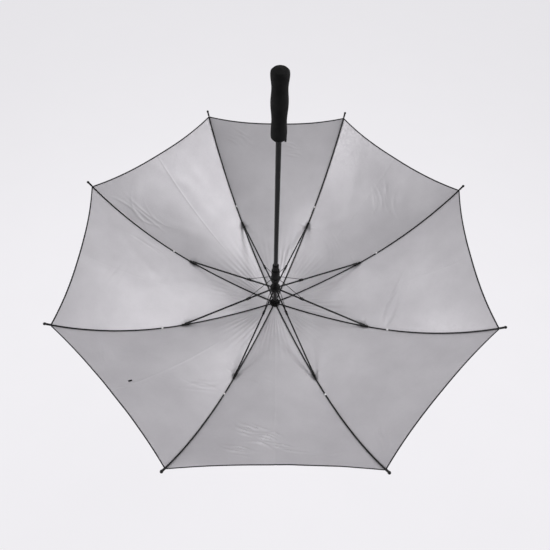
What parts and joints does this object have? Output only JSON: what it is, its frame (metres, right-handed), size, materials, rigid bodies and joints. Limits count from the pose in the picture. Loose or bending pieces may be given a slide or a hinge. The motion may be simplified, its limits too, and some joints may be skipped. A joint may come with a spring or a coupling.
{
  "type": "umbrella reflector",
  "caption": "Large straight automatic umbrella, open, with a silver-lined reflecting canopy on curved ribs, a sliding runner with strut wires, and a foam handle with a push button.",
  "frame": {"origin": "centre of the ferrule tip, at the bottom of the shaft line", "axes": "+Z along the shaft from the ferrule to the handle, +X towards the release button"},
  "size_m": [1.2094, 1.2094, 0.972],
  "materials": {
    "shaft_black": "gloss",
    "black_plastic": "satin",
    "fibreglass": "satin",
    "black_steel": "satin",
    "steel_wire": "satin",
    "grip_foam": "matte",
    "silver_cloth": "satin silver inside, black outside"
  },
  "bodies": {
    "shaft_group": {"shaft": "shaft_black", "crown_notch": "black_plastic", "crown_ring": "steel_wire", "ferrule": "black_plastic", "grip": "grip_foam"},
    "button": {"release_button": "black_plastic", "button_spring": "steel_wire"},
    "runner_group": {"runner": "black_plastic", "runner_ring": "steel_wire", "main_spring": "steel_wire"},
    "slider_group": {"slider": "black_plastic"},
    "stretcher_body_1": {"stretcher_1": "black_steel"},
    "rib_body_1": {"rib_1": "fibreglass", "rib_fittings_1": "black_plastic"},
    "strut_body_1": {"strut_wire_1": "black_steel"},
    "gore_body_1_a": {"gore_half_1_a": "silver_cloth"},
    "gore_body_1_b": {"gore_half_1_b": "silver_cloth"},
    "stretcher_body_2": {"stretcher_2": "black_steel"},
    "rib_body_2": {"rib_2": "fibreglass", "rib_fittings_2": "black_plastic"},
    "strut_body_2": {"strut_wire_2": "black_steel"},
    "gore_body_2_a": {"gore_half_2_a": "silver_cloth"},
    "gore_body_2_b": {"gore_half_2_b": "silver_cloth"},
    "stretcher_body_3": {"stretcher_3": "black_steel"},
    "rib_body_3": {"rib_3": "fibreglass", "rib_fittings_3": "black_plastic"},
    "strut_body_3": {"strut_wire_3": "black_steel"},
    "gore_body_3_a": {"gore_half_3_a": "silver_cloth"},
    "gore_body_3_b": {"gore_half_3_b": "silver_cloth"},
    "stretcher_body_4": {"stretcher_4": "black_steel"},
    "rib_body_4": {"rib_4": "fibreglass", "rib_fittings_4": "black_plastic"},
    "strut_body_4": {"strut_wire_4": "black_steel"},
    "gore_body_4_a": {"gore_half_4_a": "silver_cloth"},
    "gore_body_4_b": {"gore_half_4_b": "silver_cloth"},
    "stretcher_body_5": {"stretcher_5": "black_steel"},
    "rib_body_5": {"rib_5": "fibreglass", "rib_fittings_5": "black_plastic"},
    "strut_body_5": {"strut_wire_5": "black_steel"},
    "gore_body_5_a": {"gore_half_5_a": "silver_cloth"},
    "gore_body_5_b": {"gore_half_5_b": "silver_cloth"},
    "stretcher_body_6": {"stretcher_6": "black_steel"},
    "rib_body_6": {"rib_6": "fibreglass", "rib_fittings_6": "black_plastic"},
    "strut_body_6": {"strut_wire_6": "black_steel"},
    "gore_body_6_a": {"gore_half_6_a": "silver_cloth"},
    "gore_body_6_b": {"gore_half_6_b": "silver_cloth"},
    "stretcher_body_7": {"stretcher_7": "black_steel"},
    "rib_body_7": {"rib_7": "fibreglass", "rib_fittings_7": "black_plastic"},
    "strut_body_7": {"strut_wire_7": "black_steel"},
    "gore_body_7_a": {"gore_half_7_a": "silver_cloth"},
    "gore_body_7_b": {"gore_half_7_b": "silver_cloth"},
    "stretcher_body_8": {"stretcher_8": "black_steel"},
    "rib_body_8": {"rib_8": "fibreglass", "rib_fittings_8": "black_plastic"},
    "strut_body_8": {"strut_wire_8": "black_steel"},
    "gore_body_8_a": {"gore_half_8_a": "silver_cloth"},
    "gore_body_8_b": {"gore_half_8_b": "silver_cloth"}
  },
  "joints": [
    {"name": "runner_slide", "type": "slide", "parent": "shaft_group", "child": "runner_group", "axis": [0, 0, 1], "range_m": [0, 0.49134]},
    {"name": "slider_slide", "type": "slide", "parent": "runner_group", "child": "slider_group", "axis": [0, 0, -1], "range_m": [0, 0.03897], "deforming": ["main_spring"]},
    {"name": "button_press", "type": "slide", "parent": "shaft_group", "child": "button", "axis": [-1, 0, 0], "range_m": [0, 0.002], "stiffness_N_per_m": 400, "springref_m": -0.0015, "deforming": ["button_spring"]},
    {"name": "stretcher_pivot_1", "type": "hinge", "parent": "runner_group", "child": "stretcher_body_1", "pos_m": [0.01386, 0.00574, 0.175], "axis": [0.3827, -0.9239, 0], "range_deg": [-69.51, 0]},
    {"name": "rib_joint_1", "type": "hinge", "parent": "stretcher_body_1", "child": "rib_body_1", "pos_m": [0.29102, 0.12054, 0.147], "axis": [0.3827, -0.9239, 0], "range_deg": [0, 130.93]},
    {"name": "strut_pivot_1", "type": "hinge", "parent": "stretcher_body_1", "child": "strut_body_1", "pos_m": [0.0888, 0.03678, 0.17305], "axis": [0.3827, -0.9239, 0], "range_deg": [0, 34.25]},
    {"name": "gore_fold_1_a", "type": "hinge", "parent": "rib_body_1", "child": "gore_body_1_a", "pos_m": [0.01109, 0.00459, 0.075], "axis": [-0.7581, -0.314, -0.5716], "range_deg": [0, 55], "deforming": ["gore_half_1_a"]},
    {"name": "gore_fold_1_b", "type": "hinge", "parent": "rib_body_1", "child": "gore_body_1_b", "pos_m": [0.01109, 0.00459, 0.075], "axis": [0.7581, 0.314, 0.5716], "range_deg": [0, 55], "deforming": ["gore_half_1_b"]},
    {"name": "stretcher_pivot_2", "type": "hinge", "parent": "runner_group", "child": "stretcher_body_2", "pos_m": [0.00574, 0.01386, 0.175], "axis": [0.9239, -0.3827, 0], "range_deg": [-69.51, 0]},
    {"name": "rib_joint_2", "type": "hinge", "parent": "stretcher_body_2", "child": "rib_body_2", "pos_m": [0.12054, 0.29102, 0.147], "axis": [0.9239, -0.3827, 0], "range_deg": [0, 130.93]},
    {"name": "strut_pivot_2", "type": "hinge", "parent": "stretcher_body_2", "child": "strut_body_2", "pos_m": [0.03678, 0.0888, 0.17305], "axis": [0.9239, -0.3827, 0], "range_deg": [0, 34.25]},
    {"name": "gore_fold_2_a", "type": "hinge", "parent": "rib_body_2", "child": "gore_body_2_a", "pos_m": [0.00459, 0.01109, 0.075], "axis": [-0.314, -0.7581, -0.5716], "range_deg": [0, 55], "deforming": ["gore_half_2_a"]},
    {"name": "gore_fold_2_b", "type": "hinge", "parent": "rib_body_2", "child": "gore_body_2_b", "pos_m": [0.00459, 0.01109, 0.075], "axis": [0.314, 0.7581, 0.5716], "range_deg": [0, 55], "deforming": ["gore_half_2_b"]},
    {"name": "stretcher_pivot_3", "type": "hinge", "parent": "runner_group", "child": "stretcher_body_3", "pos_m": [-0.00574, 0.01386, 0.175], "axis": [0.9239, 0.3827, 0], "range_deg": [-69.51, 0]},
    {"name": "rib_joint_3", "type": "hinge", "parent": "stretcher_body_3", "child": "rib_body_3", "pos_m": [-0.12054, 0.29102, 0.147], "axis": [0.9239, 0.3827, 0], "range_deg": [0, 130.93]},
    {"name": "strut_pivot_3", "type": "hinge", "parent": "stretcher_body_3", "child": "strut_body_3", "pos_m": [-0.03678, 0.0888, 0.17305], "axis": [0.9239, 0.3827, 0], "range_deg": [0, 34.25]},
    {"name": "gore_fold_3_a", "type": "hinge", "parent": "rib_body_3", "child": "gore_body_3_a", "pos_m": [-0.00459, 0.01109, 0.075], "axis": [0.314, -0.7581, -0.5716], "range_deg": [0, 55], "deforming": ["gore_half_3_a"]},
    {"name": "gore_fold_3_b", "type": "hinge", "parent": "rib_body_3", "child": "gore_body_3_b", "pos_m": [-0.00459, 0.01109, 0.075], "axis": [-0.314, 0.7581, 0.5716], "range_deg": [0, 55], "deforming": ["gore_half_3_b"]},
    {"name": "stretcher_pivot_4", "type": "hinge", "parent": "runner_group", "child": "stretcher_body_4", "pos_m": [-0.01386, 0.00574, 0.175], "axis": [0.3827, 0.9239, 0], "range_deg": [-69.51, 0]},
    {"name": "rib_joint_4", "type": "hinge", "parent": "stretcher_body_4", "child": "rib_body_4", "pos_m": [-0.29102, 0.12054, 0.147], "axis": [0.3827, 0.9239, 0], "range_deg": [0, 130.93]},
    {"name": "strut_pivot_4", "type": "hinge", "parent": "stretcher_body_4", "child": "strut_body_4", "pos_m": [-0.0888, 0.03678, 0.17305], "axis": [0.3827, 0.9239, 0], "range_deg": [0, 34.25]},
    {"name": "gore_fold_4_a", "type": "hinge", "parent": "rib_body_4", "child": "gore_body_4_a", "pos_m": [-0.01109, 0.00459, 0.075], "axis": [0.7581, -0.314, -0.5716], "range_deg": [0, 55], "deforming": ["gore_half_4_a"]},
    {"name": "gore_fold_4_b", "type": "hinge", "parent": "rib_body_4", "child": "gore_body_4_b", "pos_m": [-0.01109, 0.00459, 0.075], "axis": [-0.7581, 0.314, 0.5716], "range_deg": [0, 55], "deforming": ["gore_half_4_b"]},
    {"name": "stretcher_pivot_5", "type": "hinge", "parent": "runner_group", "child": "stretcher_body_5", "pos_m": [-0.01386, -0.00574, 0.175], "axis": [-0.3827, 0.9239, 0], "range_deg": [-69.51, 0]},
    {"name": "rib_joint_5", "type": "hinge", "parent": "stretcher_body_5", "child": "rib_body_5", "pos_m": [-0.29102, -0.12054, 0.147], "axis": [-0.3827, 0.9239, 0], "range_deg": [0, 130.93]},
    {"name": "strut_pivot_5", "type": "hinge", "parent": "stretcher_body_5", "child": "strut_body_5", "pos_m": [-0.0888, -0.03678, 0.17305], "axis": [-0.3827, 0.9239, 0], "range_deg": [0, 34.25]},
    {"name": "gore_fold_5_a", "type": "hinge", "parent": "rib_body_5", "child": "gore_body_5_a", "pos_m": [-0.01109, -0.00459, 0.075], "axis": [0.7581, 0.314, -0.5716], "range_deg": [0, 55], "deforming": ["gore_half_5_a"]},
    {"name": "gore_fold_5_b", "type": "hinge", "parent": "rib_body_5", "child": "gore_body_5_b", "pos_m": [-0.01109, -0.00459, 0.075], "axis": [-0.7581, -0.314, 0.5716], "range_deg": [0, 55], "deforming": ["gore_half_5_b"]},
    {"name": "stretcher_pivot_6", "type": "hinge", "parent": "runner_group", "child": "stretcher_body_6", "pos_m": [-0.00574, -0.01386, 0.175], "axis": [-0.9239, 0.3827, 0], "range_deg": [-69.51, 0]},
    {"name": "rib_joint_6", "type": "hinge", "parent": "stretcher_body_6", "child": "rib_body_6", "pos_m": [-0.12054, -0.29102, 0.147], "axis": [-0.9239, 0.3827, 0], "range_deg": [0, 130.93]},
    {"name": "strut_pivot_6", "type": "hinge", "parent": "stretcher_body_6", "child": "strut_body_6", "pos_m": [-0.03678, -0.0888, 0.17305], "axis": [-0.9239, 0.3827, 0], "range_deg": [0, 34.25]},
    {"name": "gore_fold_6_a", "type": "hinge", "parent": "rib_body_6", "child": "gore_body_6_a", "pos_m": [-0.00459, -0.01109, 0.075], "axis": [0.314, 0.7581, -0.5716], "range_deg": [0, 55], "deforming": ["gore_half_6_a"]},
    {"name": "gore_fold_6_b", "type": "hinge", "parent": "rib_body_6", "child": "gore_body_6_b", "pos_m": [-0.00459, -0.01109, 0.075], "axis": [-0.314, -0.7581, 0.5716], "range_deg": [0, 55], "deforming": ["gore_half_6_b"]},
    {"name": "stretcher_pivot_7", "type": "hinge", "parent": "runner_group", "child": "stretcher_body_7", "pos_m": [0.00574, -0.01386, 0.175], "axis": [-0.9239, -0.3827, 0], "range_deg": [-69.51, 0]},
    {"name": "rib_joint_7", "type": "hinge", "parent": "stretcher_body_7", "child": "rib_body_7", "pos_m": [0.12054, -0.29102, 0.147], "axis": [-0.9239, -0.3827, 0], "range_deg": [0, 130.93]},
    {"name": "strut_pivot_7", "type": "hinge", "parent": "stretcher_body_7", "child": "strut_body_7", "pos_m": [0.03678, -0.0888, 0.17305], "axis": [-0.9239, -0.3827, 0], "range_deg": [0, 34.25]},
    {"name": "gore_fold_7_a", "type": "hinge", "parent": "rib_body_7", "child": "gore_body_7_a", "pos_m": [0.00459, -0.01109, 0.075], "axis": [-0.314, 0.7581, -0.5716], "range_deg": [0, 55], "deforming": ["gore_half_7_a"]},
    {"name": "gore_fold_7_b", "type": "hinge", "parent": "rib_body_7", "child": "gore_body_7_b", "pos_m": [0.00459, -0.01109, 0.075], "axis": [0.314, -0.7581, 0.5716], "range_deg": [0, 55], "deforming": ["gore_half_7_b"]},
    {"name": "stretcher_pivot_8", "type": "hinge", "parent": "runner_group", "child": "stretcher_body_8", "pos_m": [0.01386, -0.00574, 0.175], "axis": [-0.3827, -0.9239, 0], "range_deg": [-69.51, 0]},
    {"name": "rib_joint_8", "type": "hinge", "parent": "stretcher_body_8", "child": "rib_body_8", "pos_m": [0.29102, -0.12054, 0.147], "axis": [-0.3827, -0.9239, 0], "range_deg": [0, 130.93]},
    {"name": "strut_pivot_8", "type": "hinge", "parent": "stretcher_body_8", "child": "strut_body_8", "pos_m": [0.0888, -0.03678, 0.17305], "axis": [-0.3827, -0.9239, 0], "range_deg": [0, 34.25]},
    {"name": "gore_fold_8_a", "type": "hinge", "parent": "rib_body_8", "child": "gore_body_8_a", "pos_m": [0.01109, -0.00459, 0.075], "axis": [-0.7581, 0.314, -0.5716], "range_deg": [0, 55], "deforming": ["gore_half_8_a"]},
    {"name": "gore_fold_8_b", "type": "hinge", "parent": "rib_body_8", "child": "gore_body_8_b", "pos_m": [0.01109, -0.00459, 0.075], "axis": [0.7581, -0.314, 0.5716], "range_deg": [0, 55], "deforming": ["gore_half_8_b"]}
  ],
  "couplings": [
    {"joint": "slider_slide", "follows": "runner_slide", "ratio": 0.079314},
    {"joint": "stretcher_pivot_1", "follows": "runner_slide", "rad_per_m": -2.4693},
    {"joint": "rib_joint_1", "follows": "runner_slide", "rad_per_m": 4.6508},
    {"joint": "strut_pivot_1", "follows": "runner_slide", "rad_per_m": 1.2167},
    {"joint": "gore_fold_1_a", "follows": "runner_slide", "rad_per_m": 1.9537},
    {"joint": "gore_fold_1_b", "follows": "runner_slide", "rad_per_m": 1.9537},
    {"joint": "stretcher_pivot_2", "follows": "runner_slide", "rad_per_m": -2.4693},
    {"joint": "rib_joint_2", "follows": "runner_slide", "rad_per_m": 4.6508},
    {"joint": "strut_pivot_2", "follows": "runner_slide", "rad_per_m": 1.2167},
    {"joint": "gore_fold_2_a", "follows": "runner_slide", "rad_per_m": 1.9537},
    {"joint": "gore_fold_2_b", "follows": "runner_slide", "rad_per_m": 1.9537},
    {"joint": "stretcher_pivot_3", "follows": "runner_slide", "rad_per_m": -2.4693},
    {"joint": "rib_joint_3", "follows": "runner_slide", "rad_per_m": 4.6508},
    {"joint": "strut_pivot_3", "follows": "runner_slide", "rad_per_m": 1.2167},
    {"joint": "gore_fold_3_a", "follows": "runner_slide", "rad_per_m": 1.9537},
    {"joint": "gore_fold_3_b", "follows": "runner_slide", "rad_per_m": 1.9537},
    {"joint": "stretcher_pivot_4", "follows": "runner_slide", "rad_per_m": -2.4693},
    {"joint": "rib_joint_4", "follows": "runner_slide", "rad_per_m": 4.6508},
    {"joint": "strut_pivot_4", "follows": "runner_slide", "rad_per_m": 1.2167},
    {"joint": "gore_fold_4_a", "follows": "runner_slide", "rad_per_m": 1.9537},
    {"joint": "gore_fold_4_b", "follows": "runner_slide", "rad_per_m": 1.9537},
    {"joint": "stretcher_pivot_5", "follows": "runner_slide", "rad_per_m": -2.4693},
    {"joint": "rib_joint_5", "follows": "runner_slide", "rad_per_m": 4.6508},
    {"joint": "strut_pivot_5", "follows": "runner_slide", "rad_per_m": 1.2167},
    {"joint": "gore_fold_5_a", "follows": "runner_slide", "rad_per_m": 1.9537},
    {"joint": "gore_fold_5_b", "follows": "runner_slide", "rad_per_m": 1.9537},
    {"joint": "stretcher_pivot_6", "follows": "runner_slide", "rad_per_m": -2.4693},
    {"joint": "rib_joint_6", "follows": "runner_slide", "rad_per_m": 4.6508},
    {"joint": "strut_pivot_6", "follows": "runner_slide", "rad_per_m": 1.2167},
    {"joint": "gore_fold_6_a", "follows": "runner_slide", "rad_per_m": 1.9537},
    {"joint": "gore_fold_6_b", "follows": "runner_slide", "rad_per_m": 1.9537},
    {"joint": "stretcher_pivot_7", "follows": "runner_slide", "rad_per_m": -2.4693},
    {"joint": "rib_joint_7", "follows": "runner_slide", "rad_per_m": 4.6508},
    {"joint": "strut_pivot_7", "follows": "runner_slide", "rad_per_m": 1.2167},
    {"joint": "gore_fold_7_a", "follows": "runner_slide", "rad_per_m": 1.9537},
    {"joint": "gore_fold_7_b", "follows": "runner_slide", "rad_per_m": 1.9537},
    {"joint": "stretcher_pivot_8", "follows": "runner_slide", "rad_per_m": -2.4693},
    {"joint": "rib_joint_8", "follows": "runner_slide", "rad_per_m": 4.6508},
    {"joint": "strut_pivot_8", "follows": "runner_slide", "rad_per_m": 1.2167},
    {"joint": "gore_fold_8_a", "follows": "runner_slide", "rad_per_m": 1.9537},
    {"joint": "gore_fold_8_b", "follows": "runner_slide", "rad_per_m": 1.9537}
  ]
}
